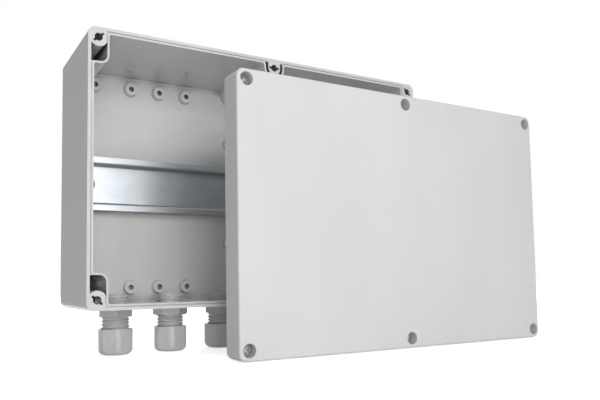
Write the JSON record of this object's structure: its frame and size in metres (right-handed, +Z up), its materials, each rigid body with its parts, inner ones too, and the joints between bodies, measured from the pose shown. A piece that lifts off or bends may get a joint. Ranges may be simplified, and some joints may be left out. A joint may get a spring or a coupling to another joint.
{
  "type": "wall-mounted terminal enclosure with top-hat rail",
  "caption": "Shallow rectangular wall enclosure with a top-hat rail inside, cable glands below and a screwed lid shown lifted off.",
  "frame": {"origin": "centre of the four wall holes, on the flat back plane of the base", "axes": "+X to the right and +Z up as seen from the front, +Y into the wall, so the open front faces -Y"},
  "size_m": [0.3085, 0.1224, 0.1883],
  "materials": {
    "polycarbonate_light_grey": "fine satin moulding",
    "foamed_seal": "matt foam",
    "zinc_plated_steel": "bright zinc plating",
    "zinc_plated_screw": "bright zinc plating",
    "polyamide_screw": "satin moulding",
    "polyamide_gland": "satin moulding",
    "black_rubber": "matt"
  },
  "bodies": {
    "base": {"base": "polycarbonate_light_grey", "din_rail": "zinc_plated_steel", "rail_screws": "zinc_plated_screw", "gland_body_1": "polyamide_gland", "gland_body_2": "polyamide_gland", "gland_body_3": "polyamide_gland", "gland_body_4": "polyamide_gland", "gland_body_5": "polyamide_gland", "gland_body_6": "polyamide_gland"},
    "lid": {"lid": "polycarbonate_light_grey", "lid_gasket": "foamed_seal"},
    "ring_top_left": {"o_ring_top_left": "black_rubber"},
    "screw_top_left": {"lid_screw_top_left": "polyamide_screw"},
    "ring_top_middle": {"o_ring_top_middle": "black_rubber"},
    "screw_top_middle": {"lid_screw_top_middle": "polyamide_screw"},
    "ring_top_right": {"o_ring_top_right": "black_rubber"},
    "screw_top_right": {"lid_screw_top_right": "polyamide_screw"},
    "ring_bottom_left": {"o_ring_bottom_left": "black_rubber"},
    "screw_bottom_left": {"lid_screw_bottom_left": "polyamide_screw"},
    "ring_bottom_middle": {"o_ring_bottom_middle": "black_rubber"},
    "screw_bottom_middle": {"lid_screw_bottom_middle": "polyamide_screw"},
    "ring_bottom_right": {"o_ring_bottom_right": "black_rubber"},
    "screw_bottom_right": {"lid_screw_bottom_right": "polyamide_screw"},
    "claw_1": {"gland_claw_1": "polyamide_gland", "gland_seal_1": "black_rubber"},
    "cap_1": {"gland_cap_1": "polyamide_gland"},
    "claw_2": {"gland_claw_2": "polyamide_gland", "gland_seal_2": "black_rubber"},
    "cap_2": {"gland_cap_2": "polyamide_gland"},
    "claw_3": {"gland_claw_3": "polyamide_gland", "gland_seal_3": "black_rubber"},
    "cap_3": {"gland_cap_3": "polyamide_gland"},
    "claw_4": {"gland_claw_4": "polyamide_gland", "gland_seal_4": "black_rubber"},
    "cap_4": {"gland_cap_4": "polyamide_gland"},
    "claw_5": {"gland_claw_5": "polyamide_gland", "gland_seal_5": "black_rubber"},
    "cap_5": {"gland_cap_5": "polyamide_gland"},
    "claw_6": {"gland_claw_6": "polyamide_gland", "gland_seal_6": "black_rubber"},
    "cap_6": {"gland_cap_6": "polyamide_gland"}
  },
  "joints": [
    {"name": "lid_lift_off", "type": "slide", "parent": "base", "child": "lid", "axis": [-0.8491, 0.4004, 0.3446], "range_m": [0, 0.08067]},
    {"name": "press_top_left", "type": "slide", "parent": "lid", "child": "ring_top_left", "axis": [0, 1, 0], "range_m": [0, 0.004]},
    {"name": "turn_top_left", "type": "hinge", "parent": "ring_top_left", "child": "screw_top_left", "pos_m": [-0.0456, -0.1066, 0.0463], "axis": [0, 1, 0], "range_deg": [0, 90]},
    {"name": "press_top_middle", "type": "slide", "parent": "lid", "child": "ring_top_middle", "axis": [0, 1, 0], "range_m": [0, 0.004]},
    {"name": "turn_top_middle", "type": "hinge", "parent": "ring_top_middle", "child": "screw_top_middle", "pos_m": [0.0685, -0.1066, 0.0463], "axis": [0, 1, 0], "range_deg": [0, 90]},
    {"name": "press_top_right", "type": "slide", "parent": "lid", "child": "ring_top_right", "axis": [0, 1, 0], "range_m": [0, 0.004]},
    {"name": "turn_top_right", "type": "hinge", "parent": "ring_top_right", "child": "screw_top_right", "pos_m": [0.1826, -0.1066, 0.0463], "axis": [0, 1, 0], "range_deg": [0, 90]},
    {"name": "press_bottom_left", "type": "slide", "parent": "lid", "child": "ring_bottom_left", "axis": [0, 1, 0], "range_m": [0, 0.004]},
    {"name": "turn_bottom_left", "type": "hinge", "parent": "ring_bottom_left", "child": "screw_bottom_left", "pos_m": [-0.0456, -0.1066, -0.1019], "axis": [0, 1, 0], "range_deg": [0, 90]},
    {"name": "press_bottom_middle", "type": "slide", "parent": "lid", "child": "ring_bottom_middle", "axis": [0, 1, 0], "range_m": [0, 0.004]},
    {"name": "turn_bottom_middle", "type": "hinge", "parent": "ring_bottom_middle", "child": "screw_bottom_middle", "pos_m": [0.0685, -0.1066, -0.1019], "axis": [0, 1, 0], "range_deg": [0, 90]},
    {"name": "press_bottom_right", "type": "slide", "parent": "lid", "child": "ring_bottom_right", "axis": [0, 1, 0], "range_m": [0, 0.004]},
    {"name": "turn_bottom_right", "type": "hinge", "parent": "ring_bottom_right", "child": "screw_bottom_right", "pos_m": [0.1826, -0.1066, -0.1019], "axis": [0, 1, 0], "range_deg": [0, 90]},
    {"name": "claw_travel_1", "type": "slide", "parent": "base", "child": "claw_1", "axis": [0, 0, 1], "range_m": [0, 0.0041]},
    {"name": "cap_turn_1", "type": "hinge", "parent": "claw_1", "child": "cap_1", "pos_m": [-0.0938, -0.037, -0.1], "axis": [0, 0, 1], "range_deg": [0, 720]},
    {"name": "claw_travel_2", "type": "slide", "parent": "base", "child": "claw_2", "axis": [0, 0, 1], "range_m": [0, 0.0041]},
    {"name": "cap_turn_2", "type": "hinge", "parent": "claw_2", "child": "cap_2", "pos_m": [-0.0586, -0.037, -0.1], "axis": [0, 0, 1], "range_deg": [0, 720]},
    {"name": "claw_travel_3", "type": "slide", "parent": "base", "child": "claw_3", "axis": [0, 0, 1], "range_m": [0, 0.0041]},
    {"name": "cap_turn_3", "type": "hinge", "parent": "claw_3", "child": "cap_3", "pos_m": [-0.0234, -0.037, -0.1], "axis": [0, 0, 1], "range_deg": [0, 720]},
    {"name": "claw_travel_4", "type": "slide", "parent": "base", "child": "claw_4", "axis": [0, 0, 1], "range_m": [0, 0.0041]},
    {"name": "cap_turn_4", "type": "hinge", "parent": "claw_4", "child": "cap_4", "pos_m": [0.0234, -0.037, -0.1], "axis": [0, 0, 1], "range_deg": [0, 720]},
    {"name": "claw_travel_5", "type": "slide", "parent": "base", "child": "claw_5", "axis": [0, 0, 1], "range_m": [0, 0.0041]},
    {"name": "cap_turn_5", "type": "hinge", "parent": "claw_5", "child": "cap_5", "pos_m": [0.0586, -0.037, -0.1], "axis": [0, 0, 1], "range_deg": [0, 720]},
    {"name": "claw_travel_6", "type": "slide", "parent": "base", "child": "claw_6", "axis": [0, 0, 1], "range_m": [0, 0.0041]},
    {"name": "cap_turn_6", "type": "hinge", "parent": "claw_6", "child": "cap_6", "pos_m": [0.0938, -0.037, -0.1], "axis": [0, 0, 1], "range_deg": [0, 720]}
  ],
  "couplings": [
    {"joint": "claw_travel_1", "follows": "cap_turn_1", "m_per_rad": 0.00031831},
    {"joint": "claw_travel_2", "follows": "cap_turn_2", "m_per_rad": 0.00031831},
    {"joint": "claw_travel_3", "follows": "cap_turn_3", "m_per_rad": 0.00031831},
    {"joint": "claw_travel_4", "follows": "cap_turn_4", "m_per_rad": 0.00031831},
    {"joint": "claw_travel_5", "follows": "cap_turn_5", "m_per_rad": 0.00031831},
    {"joint": "claw_travel_6", "follows": "cap_turn_6", "m_per_rad": 0.00031831}
  ]
}
